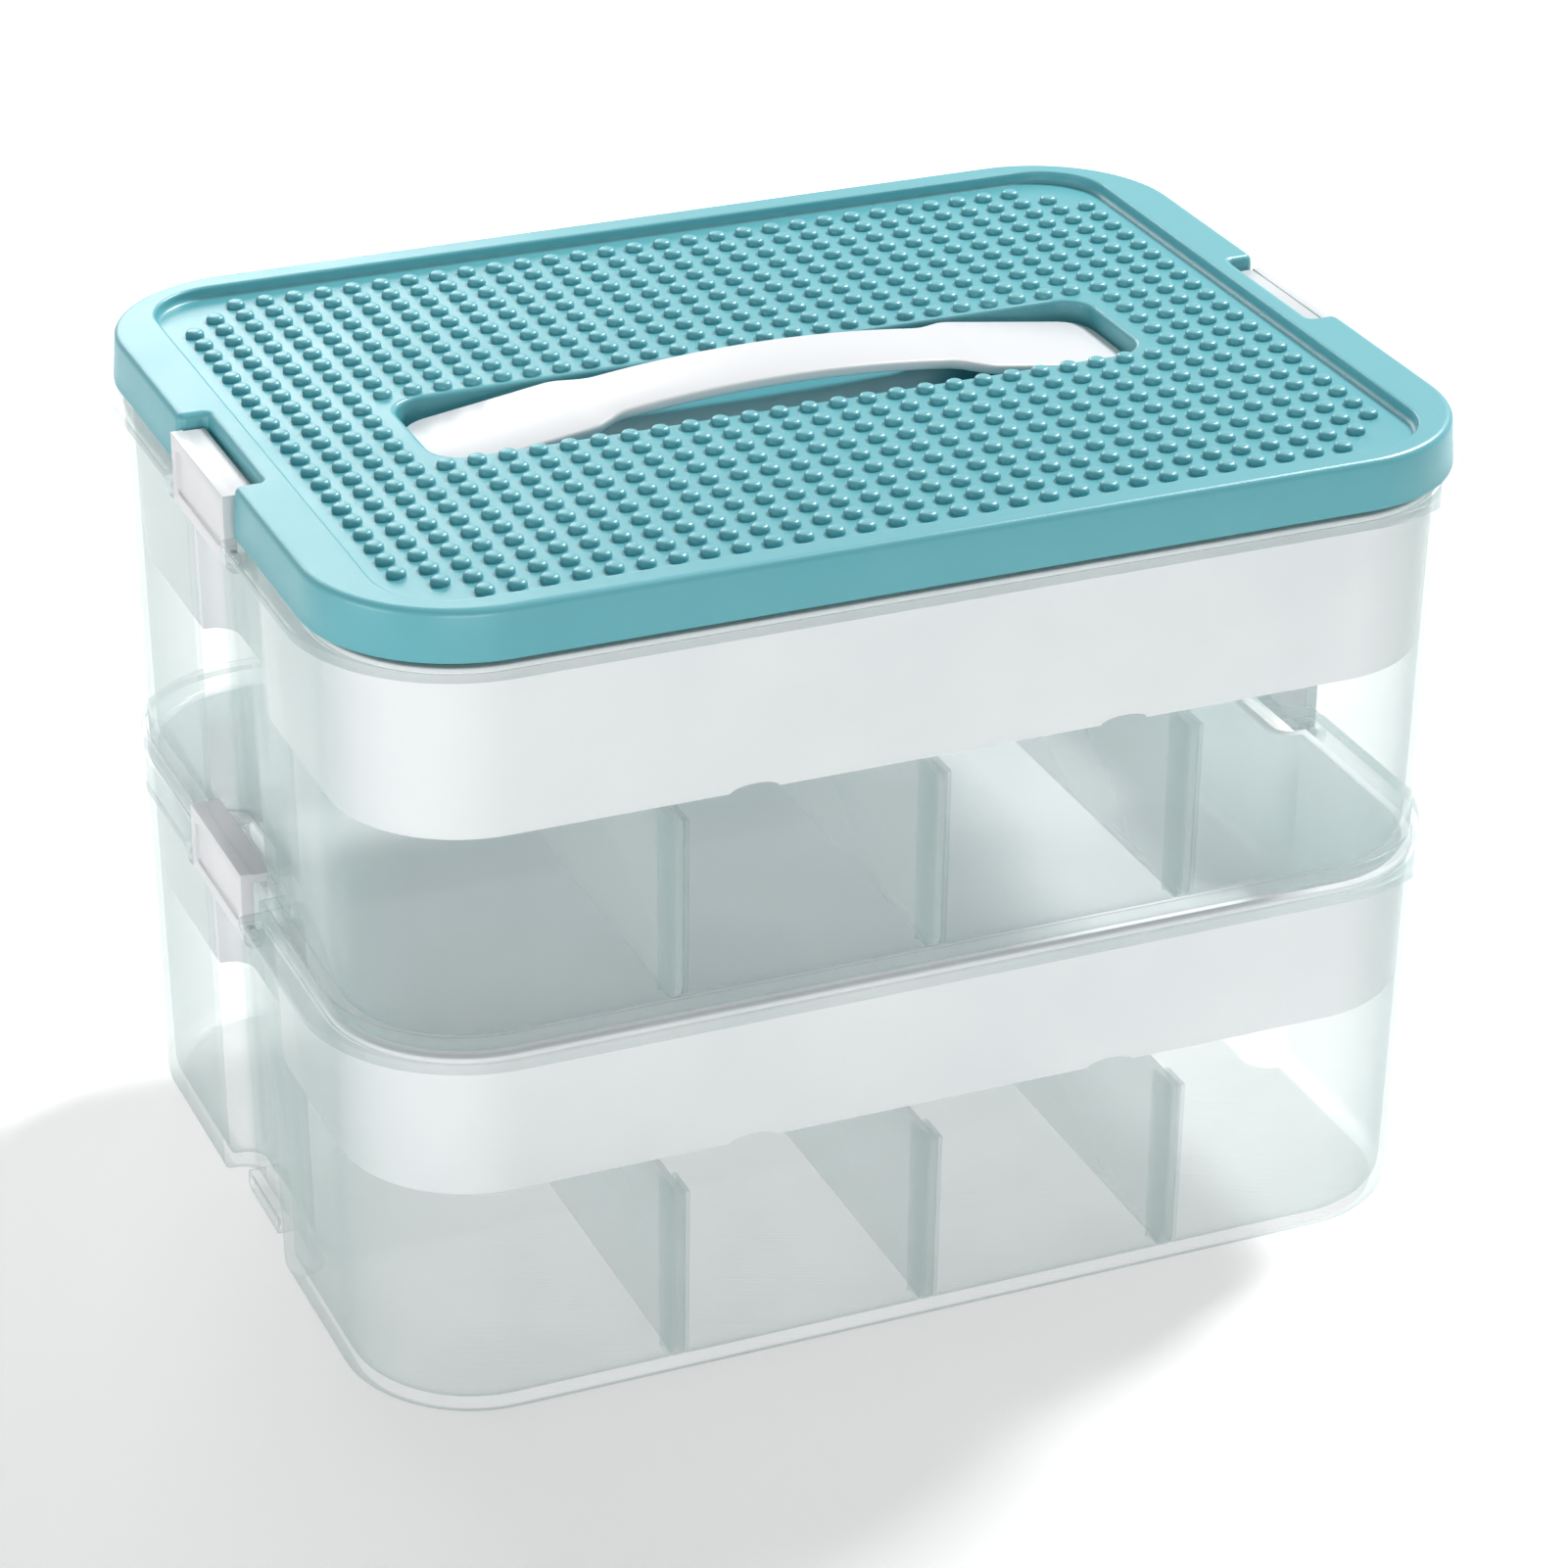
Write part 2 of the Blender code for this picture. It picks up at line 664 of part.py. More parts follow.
def strap_plan():
    """The strap from above: wide ends with rounded corners, shoulders, and a narrow middle."""
    step = PAD_HALF_Y - STRAP_HALF_Y
    turn = math.degrees(math.acos(1 - step / (2 * SHOULDER_RADIUS)))
    run = SHOULDER_RADIUS * math.sin(math.radians(turn))
    narrow = (STRAP_ARCH_HALF - run, STRAP_HALF_Y + SHOULDER_RADIUS)
    wide = (STRAP_ARCH_HALF + run, PAD_HALF_Y - SHOULDER_RADIUS)
    low = turned(*narrow, SHOULDER_RADIUS, -90, turn - 90, CHANNEL_STEPS)
    high = turned(*wide, SHOULDER_RADIUS, 90 + turn, 90, CHANNEL_STEPS)
    corner = turned(STRAP_END_X - PAD_CORNER, PAD_HALF_Y - PAD_CORNER, PAD_CORNER, 90, 0, CHANNEL_STEPS)
    upper_right = low + high[1:] + corner
    return all_round(upper_right[::-1])


def strap_side():
    """The strap from the front: its top face, then its underside."""
    count = CORNER_STEPS * 2
    places = [-STRAP_ARCH_HALF + 2 * STRAP_ARCH_HALF * step / count for step in range(count + 1)]
    reach = STRAP_END_X + OVERRUN
    places = [-reach] + places + [reach]
    top = [(x, strap_height(x)) for x in places]
    return top + [(x, z - STRAP_THICK) for x, z in reversed(top)]


def make_handle(base, parts, cutters):
    bm = bmesh.new()
    prism(bm, strap_side(), "Y", -PAD_HALF_Y - OVERRUN, PAD_HALF_Y + OVERRUN)
    handle = placed("handle", bm, parts, (0, 0, base), finish=WHITE)
    plan = bmesh.new()
    prism(plan, strap_plan(), "Z", WELL_FLOOR - OVERRUN, STRAP_TOP + OVERRUN)
    carve(handle, placed("handle_plan", plan, cutters), "INTERSECT")
    holes = bmesh.new()
    for x, y in strap_pegs():
        prism(holes, pill(x, y, PEG_RADIUS + CLEARANCE), "Z", WELL_FLOOR, peg_top() + CLEARANCE)
    carve(handle, placed("handle_holes", holes, cutters), "DIFFERENCE")


def build():
    tidy_scene()
    parts = collection("storage_box")
    cutters = collection("cutters")
    for tier, base, depth in (("lower", 0, LOWER_TRAY_DEPTH), ("upper", TIER_PITCH, UPPER_TRAY_DEPTH)):
        make_box(tier, base, parts, cutters)
        make_dividers(tier, base, parts)
        make_tray(tier, base, depth, parts, cutters)
        make_latches(tier, base, parts, cutters)
    lid_base = TIER_PITCH + SKIRT_BOTTOM
    make_lid(lid_base, parts, cutters)
    make_handle(lid_base, parts, cutters)


build()
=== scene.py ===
"""Looks of a two-tier storage box with a studded lid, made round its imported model.

The clear boxes, the trays, the dividers, the latches, the lid and the carrying strap are modelled
again with fine corners and rounded edges, each in the place of its CAD node.
"""

import math
from typing import NamedTuple

import bmesh
import bpy
from mathutils import Matrix, Vector


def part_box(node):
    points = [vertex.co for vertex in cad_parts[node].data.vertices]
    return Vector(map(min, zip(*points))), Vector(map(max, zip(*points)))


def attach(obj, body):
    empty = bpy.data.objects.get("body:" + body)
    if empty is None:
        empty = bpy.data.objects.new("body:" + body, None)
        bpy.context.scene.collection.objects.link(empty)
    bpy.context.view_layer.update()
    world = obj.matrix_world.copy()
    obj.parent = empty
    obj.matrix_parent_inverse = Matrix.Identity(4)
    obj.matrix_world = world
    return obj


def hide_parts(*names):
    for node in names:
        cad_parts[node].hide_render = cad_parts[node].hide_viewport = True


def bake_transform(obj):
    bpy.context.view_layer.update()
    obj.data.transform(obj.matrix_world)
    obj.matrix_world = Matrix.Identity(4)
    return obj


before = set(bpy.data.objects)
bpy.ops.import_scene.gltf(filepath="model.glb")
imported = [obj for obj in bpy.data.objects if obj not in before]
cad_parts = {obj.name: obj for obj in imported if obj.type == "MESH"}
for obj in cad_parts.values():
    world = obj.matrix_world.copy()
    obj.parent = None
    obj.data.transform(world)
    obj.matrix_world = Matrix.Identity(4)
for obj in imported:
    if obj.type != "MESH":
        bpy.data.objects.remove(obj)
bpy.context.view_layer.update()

# General fits, as in the CAD
CLEARANCE = 0.0003
BITE = 0.0003               # how far a joined shape runs into what carries it
OVERRUN = 0.0010            # how far a cutter runs past the face that it opens
LEAST_RADIUS = 0.0003
SUPPORT = 0.0004            # width of the strip that keeps a flat face flat beside a rounded edge

# Clear box, from its foot
TIERS = ("lower", "upper")
WALL_TOP = 0.1020
FLANGE_REACH = 0.0054
FLANGE_LIP = 0.0026
FLANGE_RISE = 0.0006
FLANGE_RIDGE = 0.0013
FLANGE_MOUTH_RADIUS = 0.0015
WALL_CORNER = 0.0370
WALL_DRAFT = 0.0018
WALL_THICK = 0.0022
FLOOR_THICK = 0.0025
FOOT_RADIUS = 0.0040
INNER_RADIUS = 0.0050
BOX_EDGE = 0.0005           # rounding of the flange's, the rim's and the ledge's edges
CHANNEL_HALF_Y = 0.0242
CHANNEL_DEPTH = 0.0077
CHANNEL_MOUTH_RADIUS = 0.0008
CHANNEL_FLOOR_RADIUS = 0.0030
UPSTAND_STEP = 0.0003
UPSTAND_THICK = 0.0014
TIER_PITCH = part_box("upper_box")[0].z
LEDGE_DROP = 0.0018         # the tray's ledge below the foot of the box above

# Dividers, guide ribs and keeper tabs
COMPARTMENT_PITCH = 0.0684
DIVIDER_THICK = 0.0018
DIVIDER_CORNER = 0.0006
DIVIDER_CORNER_STEPS = 3
DIVIDER_EDGE = 0.0003
GUIDE_THICK = 0.0011
GUIDE_DEPTH = 0.0095
TAB_HALF_Y = 0.01375
TAB_TOP = 0.0090
TAB_REACH = 0.0048
TAB_CORNER = 0.0026
TAB_LIP = 0.0014
TAB_POCKET = 0.0010

# Tray
TRAY_RIM_THICK = 0.0012
TRAY_WALL = 0.0016
TRAY_FLOOR = 0.0018
TRAY_TAPER = 0.0004
TRAY_INNER_RADIUS = 0.0040
TRAY_FOOT_RIM = 0.0025
TRAY_FOOT_INNER_EDGE = 0.0004
TRAY_FOOT_EDGE = 0.0006
TRAY_UNDER_RIM_EDGE = 0.0003
TRAY_RIM_EDGE = 0.0005
TRAY_MOUTH_EDGE = 0.0006
TRAY_ARCH_X = 0.0490
TRAY_ARCH_HALF = 0.0065
TRAY_ARCH_RISE = 0.0020

# Latch
LATCH_HALF_Y = 0.0216
LATCH_THICK = 0.0032
LATCH_PROUD = 0.0038
LATCH_DROP = 0.0050
LATCH_RISE = 0.0133
HOOK_STEP = 0.0003          # from the plate's top edge down to the hook's
HOOK_THICK = 0.0025
HOOK_REACH = {"lower": 0.0048, "upper": 0.0056}
PIN_RADIUS = 0.0015
PIN_LENGTH = 0.0020
PIN_INSET = 0.0018          # the pin's axis behind the latch's face
PIN_LIFT = 0.0025           # the pin's axis above the latch's bottom edge
LUG_THICK = 0.0040
LUG_WALL = 0.0011
FACE_RECESS = 0.0008
FACE_FRAME = 0.0030
FACE_CORNER = 0.0022
LATCH_EDGE = 0.0004

# Lid, from its skirt's bottom edge
LID_HEIGHT = 0.0130
LID_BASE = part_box("lid")[1].z - LID_HEIGHT
SKIRT_THICK = 0.0016
SKIRT_DRAFT = 0.0007
SKIRT_EDGE = 0.0004
LID_EDGE_RADIUS = 0.0018
RIM_THICK = 0.0023
RIM_WIDTH_X = 0.0137
RIM_WIDTH_Y = 0.0080
FIELD_CORNER = 0.0190
FIELD_DEPTH = 0.0032
FIELD_TOP_RADIUS = 0.0008
FIELD_FOOT_RADIUS = 0.0015
PLATE_THICK = 0.0022
WELL_HALF_X = 0.0965
WELL_HALF_Y = 0.0200
WELL_CORNER = 0.0090
WELL_EDGE = 0.0012
WELL_FOOT_RADIUS = 0.0015

# Studs on the lid
STUD_PITCH = 0.0080
STUD_RADIUS = 0.00245
STUD_RISE = 0.0017
STUD_EDGE = 0.0012
STUD_EDGE_STEPS = 4
STUD_SIDES = 16
STUD_COLUMNS = 16           # to either side of the middle one
STUD_ROWS = 12
WELL_COLUMNS = 12           # taken up by the well, to either side of the middle one
WELL_ROWS = 2
LEAST_FROM_CORNER = 2       # steps along the grid from its corner to the nearest stud

# Carrying strap
STRAP_ARCH_RADIUS = 0.3500
STRAP_ARCH_HALF = 0.0500
STRAP_CROWN = 0.0017
STRAP_THICK = 0.0028
STRAP_HALF_Y = 0.0120
PAD_HALF_Y = 0.0165
PAD_CORNER = 0.0080
SHOULDER_RADIUS = 0.00225
SHOULDER_SLOPE = 0.9        # half a shoulder's length for each unit of its width
STRAP_EDGE = 0.0010
STRAP_SLICE = 0.0040        # length of one straight run of the bent strap
SLICE_SLACK = 1e-6          # how near to a slicing plane a point counts as on it

# How finely curves are drawn, in straight runs to a quarter turn
CORNER_STEPS = 20
CHANNEL_STEPS = 6
EDGE_STEPS = 5
SMOOTH_ANGLE = 35           # degrees; sharper edges stay crisp

# Moulded plastics: pale colour, deep colour, roughness, gloss and depth of the grain
GRAINED = {
    "tray_plastic": ((0.935, 0.945, 0.960, 1), (0.912, 0.925, 0.942, 1), 0.45, 0.5, 0.00003),
    "white_plastic": ((0.700, 0.717, 0.734, 1), (0.682, 0.700, 0.718, 1), 0.34, 0.5, 0.00002),
    "teal_plastic": ((0.112, 0.422, 0.478, 1), (0.100, 0.401, 0.456, 1), 0.34, 0.6, 0.00004),
}

# Clear plastics: pale colour, deep colour and the least haze
CLEAR = {
    "clear_plastic": ((0.390, 0.550, 0.530, 1), (0.355, 0.515, 0.495, 1), 0.045),
    "divider_plastic": ((0.700, 0.770, 0.765, 1), (0.660, 0.735, 0.730, 1), 0.13),
}
EDGE_ON_HAZE = 0.62         # added where the plastic is seen edge-on
SHADE_LOSS = 0.8            # how much of its haze clear plastic loses to shadow and bounced rays

# Studio
LAMP_AIM = (0, 0, 0.12)
LAMPS = (
    # name, place, size, watts
    ("key", (1.6, 0.8, 2.0), (0.5, 0.5), 70),
    ("back_sheen", (0.0, 1.5, 0.85), (0.9, 0.6), 8),
    ("left_fill", (-1.6, -0.3, 0.28), (0.9, 0.4), 7),
    ("front_fill", (-0.5, -1.8, 0.28), (1.2, 0.35), 10),
)
TRANSPARENT_BOUNCES = 64    # enough for the many clear walls behind each other
BACKDROP_LIGHT = 0.32       # the backdrop's strength as a light; 1 where it is seen
FLOOR_HALF = 4
FLOOR_GREY = 0.92
FLOOR_GLOW = 0.25
FLOOR_FADE = (0.7, 1.7)     # how far out the floor starts and stops fading into the backdrop

# Camera, fitted to the photograph
PHOTO_SIDE = 1601
FOCAL_PIXELS = 5025.83
SENSOR = 36.0
CAMERA_PLACE = (-0.45235, -1.06917, 0.69338)
CAMERA_AZIMUTH = -23.125
CAMERA_ELEVATION = 27.001
CAMERA_ROLL = 0.472


# Meshes


class Plan(NamedTuple):
    """A rounded rectangle with a channel in the middle of each end."""

    half_x: float
    half_y: float
    corner: float
    channel_y: float
    channel_x: float
    mouth: float
    hollow: float

    def grown(self, by):
        """The same outline moved outwards all round."""
        return Plan(
            self.half_x + by,
            self.half_y + by,
            self.corner + by,
            self.channel_y - by,
            self.channel_x + by,
            max(self.mouth + by, LEAST_RADIUS),
            max(self.hollow - by, LEAST_RADIUS),
        )

    def quarter(self):
        """Corner points from the end's middle to the side, each with its radius and steps."""
        hollow = min(self.hollow, self.half_x - self.mouth - self.channel_x - LEAST_RADIUS)
        return [
            (self.channel_x, self.channel_y, hollow, CHANNEL_STEPS),
            (self.half_x, self.channel_y, self.mouth, CHANNEL_STEPS),
            (self.half_x, self.half_y, self.corner, CORNER_STEPS),
        ]


class Pocket(NamedTuple):
    """A plain rounded rectangle."""

    half_x: float
    half_y: float
    corner: float

    def grown(self, by):
        return Pocket(self.half_x + by, self.half_y + by, self.corner + by)

    def quarter(self):
        return [(self.half_x, self.half_y, self.corner, CORNER_STEPS)]


def bevel(bm, parts, radius, steps, affect, clamp=False):
    """Round edges or corners."""
    bmesh.ops.bevel(
        bm,
        geom=parts,
        offset=radius,
        offset_type="OFFSET",
        segments=steps,
        profile=0.5,
        affect=affect,
        clamp_overlap=clamp,
        material=-1,
    )


def all_round(quarter):
    """Corner points from the first quarter, mirrored to the other three."""
    half = quarter + [(-x, y, radius, steps) for x, y, radius, steps in reversed(quarter)]
    return half + [(x, -y, radius, steps) for x, y, radius, steps in reversed(half)]


def plate(bm, points, place):
    """A face from corner points, each rounded by its own bevel. Place puts a point in space."""
    known = set(bm.faces)
    corners = [bm.verts.new(place(x, y)) for x, y, _, _ in points]
    bm.faces.new(corners)
    kinds = sorted({(radius, steps) for _, _, radius, steps in points if radius})
    for radius, steps in kinds:
        alike = [corner for corner, point in zip(corners, points) if point[2:] == (radius, steps)]
        bevel(bm, alike, radius, steps, "VERTICES")
    return next(face for face in bm.faces if face not in known)


def level(bm, plan, z):
    """The plan's outline as a face at a height."""
    return plate(bm, all_round(plan.quarter()), lambda x, y: (x, y, z))


def in_order(verts):
    """A loop's vertices anticlockwise, from the right-hand end of the front."""
    ring = list(verts)
    spots = [vert.co.to_2d() for vert in ring]
    turn = sum(here.cross(after) for here, after in zip(spots, spots[1:] + spots[:1]))
    if turn < 0:
        ring.reverse()
    # The frontmost point, and the furthest right where several are level.
    start = min(range(len(ring)), key=lambda place: ring[place].co.y - ring[place].co.x / 100)
    return ring[start:] + ring[:start]


def outline(plan):
    """The points round a plan, in order."""
    bm = bmesh.new()
    points = [vert.co.to_2d() for vert in in_order(level(bm, plan, 0).verts)]
    bm.free()
    return points


def skin(bm, levels, first_cap=True, last_cap=True):
    """A wall through plans, each with its height. Gives its two end loops."""
    last = level(bm, *levels[0])
    start = list(last.edges)
    spare = [] if first_cap else [last]
    for plan, z in levels[1:]:
        grown = bmesh.ops.extrude_face_region(bm, geom=[last])["geom"]
        last = next(part for part in grown if isinstance(part, bmesh.types.BMFace))
        spare.append(last)
        for vert, point in zip(in_order(last.verts), outline(plan)):
            vert.co = (*point, z)
    if last_cap:
        spare.remove(last)
    end = list(last.edges)
    bmesh.ops.delete(bm, geom=spare, context="FACES_ONLY")
    return start, end


def arc(plan, z, radius, outward, upward):
    """Levels of a rounded edge at a plan and height, from the wall to the flat beside it.

    Outward is 1 on a wall that faces out and -1 on one that faces in. Upward is 1 on a top edge.
    """
    turns = [math.radians(90 * step / EDGE_STEPS) for step in range(EDGE_STEPS + 1)]
    return [
        (
            plan.grown(-outward * radius * (1 - math.cos(turn))),
            z - upward * radius * (1 - math.sin(turn)),
        )
        for turn in turns
    ]


def bevel_sharp(bm, radius, steps, least):
    """Round every edge that turns by more than the least angle, in degrees."""
    bmesh.ops.recalc_face_normals(bm, faces=bm.faces)
    limit = math.radians(least)
    sharp = [edge for edge in bm.edges if edge.is_manifold and edge.calc_face_angle() > limit]
    bevel(bm, sharp, radius, steps, "EDGES", clamp=True)


def block(bm, low, high):
    """A rectangular bar between two corners. Gives its vertices."""
    low, high = Vector(low), Vector(high)
    place = Matrix.Translation((low + high) / 2) @ Matrix.Diagonal((*(high - low), 1))
    return bmesh.ops.create_cube(bm, size=1, matrix=place)["verts"]


def nearest(bm, spot):
    """The face whose middle is nearest to a spot."""
    return min(bm.faces, key=lambda face: (face.calc_center_median() - Vector(spot)).length)


def sink(bm, face, inward, radius):
    """Sink a face by twice a radius, round at the edge above and hollow at the foot."""
    turns = [math.radians(90 * step / EDGE_STEPS) for step in range(EDGE_STEPS + 1)]
    edge = [
        (math.sin(after) - math.sin(before), math.cos(before) - math.cos(after))
        for before, after in zip(turns, turns[1:])
    ]
    for run, drop in edge + edge[::-1]:
        bmesh.ops.inset_region(bm, faces=[face], thickness=radius * run, use_even_offset=True)
        bmesh.ops.translate(bm, verts=face.verts, vec=Vector(inward) * radius * drop)


def thicken(bm, face, by):
    """Extrude a face by a vector. Gives the far face."""
    grown = bmesh.ops.extrude_face_region(bm, geom=[face])["geom"]
    corners = [part for part in grown if isinstance(part, bmesh.types.BMVert)]
    bmesh.ops.translate(bm, verts=corners, vec=by)
    return next(part for part in grown if isinstance(part, bmesh.types.BMFace))


def rod(bm, centre, radius, length):
    """A round bar along Y about a centre. Gives its vertices."""
    return bmesh.ops.create_cone(
        bm,
        cap_ends=True,
        segments=4 * CHANNEL_STEPS,
        radius1=radius,
        radius2=radius,
        depth=length,
        matrix=Matrix.Translation(centre) @ Matrix.Rotation(math.radians(90), 4, "X"),
    )["verts"]


def shaded(mesh):
    """Smooth shading, with sharp edges left crisp."""
    mesh.shade_smooth()
    mesh.set_sharp_from_angle(angle=math.radians(SMOOTH_ANGLE))


def made(name, bm, shift=(0, 0, 0)):
    """The mesh as an object at the origin."""
    bmesh.ops.translate(bm, verts=bm.verts, vec=shift)
    bmesh.ops.recalc_face_normals(bm, faces=bm.faces)
    mesh = bpy.data.meshes.new(name)
    bm.to_mesh(mesh)
    bm.free()
    shaded(mesh)
    piece = bpy.data.objects.new(name, mesh)
    bpy.context.scene.collection.objects.link(piece)
    return piece


def carved(piece, *steps):
    """Join or cut tools, each with its operation, and keep only the result."""
    for operation, tool in steps:
        change = piece.modifiers.new(tool.name, "BOOLEAN")
        change.operation = operation
        change.solver = "EXACT"
        change.object = tool
    bpy.context.view_layer.update()
    graph = bpy.context.evaluated_depsgraph_get()
    result = bpy.data.meshes.new_from_object(piece.evaluated_get(graph))
    piece.modifiers.clear()
    spare = piece.data
    piece.data = result
    result.name = piece.name
    bpy.data.meshes.remove(spare)
    for _, tool in steps:
        bpy.data.objects.remove(tool)
    shaded(piece.data)
    return piece


def dressed(piece, finish, body, node):
    """Give a piece its material, hide the CAD node that it stands for, and hang it on the body that
    it moves with.
    """
    piece.data.materials.clear()
    piece.data.materials.append(finish)
    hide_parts(node)
    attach(piece, body)
    return piece


# Outlines that the pieces share

FLANGE_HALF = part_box("lower_box")[1]
WALL_HALF_X = FLANGE_HALF.x - FLANGE_REACH
WALL_HALF_Y = FLANGE_HALF.y - FLANGE_REACH
BOX_TOP = FLANGE_HALF.z
FLANGE_TOP = WALL_TOP + FLANGE_LIP + FLANGE_RISE
LEDGE = TIER_PITCH - LEDGE_DROP
LUG_START = LATCH_HALF_Y + CLEARANCE
LATCH_FACE = WALL_HALF_X + LATCH_PROUD
LATCH_LOW = WALL_TOP - LATCH_DROP
PIN_X = LATCH_FACE - PIN_INSET
PIN_Z = LATCH_LOW + PIN_LIFT

WALL = Plan(
    WALL_HALF_X,
    WALL_HALF_Y,
    WALL_CORNER,
    CHANNEL_HALF_Y,
    WALL_HALF_X - CHANNEL_DEPTH,
    CHANNEL_MOUTH_RADIUS,
    CHANNEL_FLOOR_RADIUS,
)
UPSTAND_OUTER = WALL.grown(UPSTAND_STEP)
UPSTAND_INNER = UPSTAND_OUTER.grown(-UPSTAND_THICK)
SKIRT_INNER = UPSTAND_OUTER.grown(CLEARANCE)
SKIRT_OUTER = SKIRT_INNER.grown(SKIRT_THICK)
LID_TOP_PLAN = SKIRT_OUTER.grown(-SKIRT_DRAFT)
FLANGE = Plan(
    WALL_HALF_X + FLANGE_REACH,
    WALL_HALF_Y + FLANGE_REACH,
    WALL_CORNER + FLANGE_REACH,
    LUG_START + BITE,
    WALL.channel_x + FLANGE_RIDGE,
    FLANGE_MOUTH_RADIUS,
    CHANNEL_FLOOR_RADIUS - FLANGE_RIDGE,
)


def wall_at(z):
    """Outer outline of the box's wall at a height."""
    return WALL.grown(-WALL_DRAFT * (1 - z / WALL_TOP))


def inside_at(z):
    """Inner outline of the box's wall at a height."""
    return wall_at(z).grown(-WALL_THICK)


# Clear boxes


def box_shell():
    """The box's wall from under its foot, over flange, rim and ledge, and down to its floor."""
    levels = arc(wall_at(0), 0, FOOT_RADIUS, 1, -1)[::-1]
    levels += [(WALL, WALL_TOP)]
    levels += arc(FLANGE, WALL_TOP, BOX_EDGE, 1, -1)[::-1]
    levels += arc(FLANGE, WALL_TOP + FLANGE_LIP, BOX_EDGE, 1, 1)
    levels += [(UPSTAND_OUTER.grown(BOX_EDGE), FLANGE_TOP), (UPSTAND_OUTER, FLANGE_TOP + BOX_EDGE)]
    levels += arc(UPSTAND_OUTER, BOX_TOP, BOX_EDGE, 1, 1)
    levels += arc(UPSTAND_INNER, BOX_TOP, BOX_EDGE, -1, 1)[::-1]
    levels += [(UPSTAND_INNER, LEDGE)]
    levels += arc(inside_at(LEDGE), LEDGE, BOX_EDGE, -1, 1)[::-1]
    levels += arc(inside_at(FLOOR_THICK), FLOOR_THICK, INNER_RADIUS, 1, -1)
    bm = bmesh.new()
    skin(bm, levels)
    return bm


def guide_ribs(bm, top):
    """Pairs of ribs up the front and back walls, a divider's thickness apart."""
    slot = DIVIDER_THICK / 2 + CLEARANCE
    wall = inside_at(top).half_y
    for share in (-1, 0, 1):
        for side in (-1, 1):
            near = share * COMPARTMENT_PITCH + side * slot
            far = near + side * GUIDE_THICK
            for face in (-1, 1):
                low_x, high_x = sorted((near, far))
                low_y, high_y = sorted((face * (wall - GUIDE_DEPTH), face * (wall + BITE)))
                block(bm, (low_x, low_y, FLOOR_THICK - BITE), (high_x, high_y, top))


def keeper_tab(bm, end, bottom):
    """A pad at the channel's foot, with a raised lip round a shallow pocket."""
    root = wall_at(0).grown(-FOOT_RADIUS).channel_x
    face_x = wall_at(TAB_TOP).channel_x + TAB_REACH
    rows = (bottom, (-TAB_HALF_Y, TAB_HALF_Y)), (TAB_TOP, (TAB_HALF_Y, -TAB_HALF_Y))
    points = [(y, z, TAB_CORNER, CHANNEL_STEPS) for z, row in rows for y in row]
    back = plate(bm, points, lambda y, z: (end * root, y, z))
    front = thicken(bm, back, (end * (face_x - root), 0, 0))
    bmesh.ops.inset_region(bm, faces=[front], thickness=TAB_LIP, use_even_offset=True)
    sink(bm, front, (-end, 0, 0), TAB_POCKET / 2)


def lug(bm, end, side):
    """An ear under the flange that holds one of the latch's pins."""
    radius = PIN_RADIUS + CLEARANCE + LUG_WALL
    root = min(WALL_HALF_X, PIN_X - radius) - BITE
    points = [
        (root, WALL_TOP + BITE, 0, 0),
        (root, PIN_Z - radius, radius, CHANNEL_STEPS),
        (PIN_X + radius, PIN_Z - radius, radius, CHANNEL_STEPS),
        (PIN_X + radius, WALL_TOP + BITE, 0, 0),
    ]
    near = side * LUG_START
    face = plate(bm, points, lambda x, z: (end * x, near, z))
    thicken(bm, face, (0, side * LUG_THICK, 0))


def make_box(tier, finish):
    """The shell with its ribs, tabs and lugs, slots for the next box's tabs, and pin bores."""
    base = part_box(tier + "_box")[0].z
    divider_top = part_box(tier + "_divider_middle")[1].z - base
    tab_bottom = FLANGE_TOP + BITE + CLEARANCE - TIER_PITCH
    joined, cut = bmesh.new(), bmesh.new()
    guide_ribs(joined, divider_top)
    inner, outer = UPSTAND_INNER.channel_x - OVERRUN, UPSTAND_OUTER.channel_x + OVERRUN
    half = TAB_HALF_Y + CLEARANCE
    for end in (-1, 1):
        keeper_tab(joined, end, tab_bottom)
        low_x, high_x = sorted((end * inner, end * outer))
        block(cut, (low_x, -half, FLANGE_TOP + BITE), (high_x, half, BOX_TOP + OVERRUN))
        for side in (-1, 1):
            lug(joined, end, side)
            middle = side * (LATCH_HALF_Y + PIN_LENGTH / 2)
            rod(cut, (end * PIN_X, middle, PIN_Z), PIN_RADIUS + CLEARANCE, PIN_LENGTH + 2 * OVERRUN)
    shell = made(tier + "_clear_box", box_shell())
    tools = ("UNION", made("joined", joined)), ("DIFFERENCE", made("cut", cut))
    piece = carved(shell, *tools)
    piece.data.transform(Matrix.Translation((0, 0, base)))
    return dressed(piece, finish, tier + "_box", tier + "_box")


def make_divider(node, finish):
    """A plate between two pairs of guide ribs, its lower corners rounded to the box's."""
    low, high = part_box(node)
    half_top = high.y
    half_low = inside_at(FLOOR_THICK).half_y - CLEARANCE
    points = [
        (-half_low, low.z, INNER_RADIUS, CHANNEL_STEPS),
        (half_low, low.z, INNER_RADIUS, CHANNEL_STEPS),
        (half_top, high.z, DIVIDER_CORNER, DIVIDER_CORNER_STEPS),
        (-half_top, high.z, DIVIDER_CORNER, DIVIDER_CORNER_STEPS),
    ]
    bm = bmesh.new()
    face = plate(bm, points, lambda y, z: (low.x, y, z))
    thicken(bm, face, (high.x - low.x, 0, 0))
    bevel_sharp(bm, DIVIDER_EDGE, steps=2, least=60)
    piece = made(node + "_plate", bm)
    return dressed(piece, finish, node, node)


# Trays


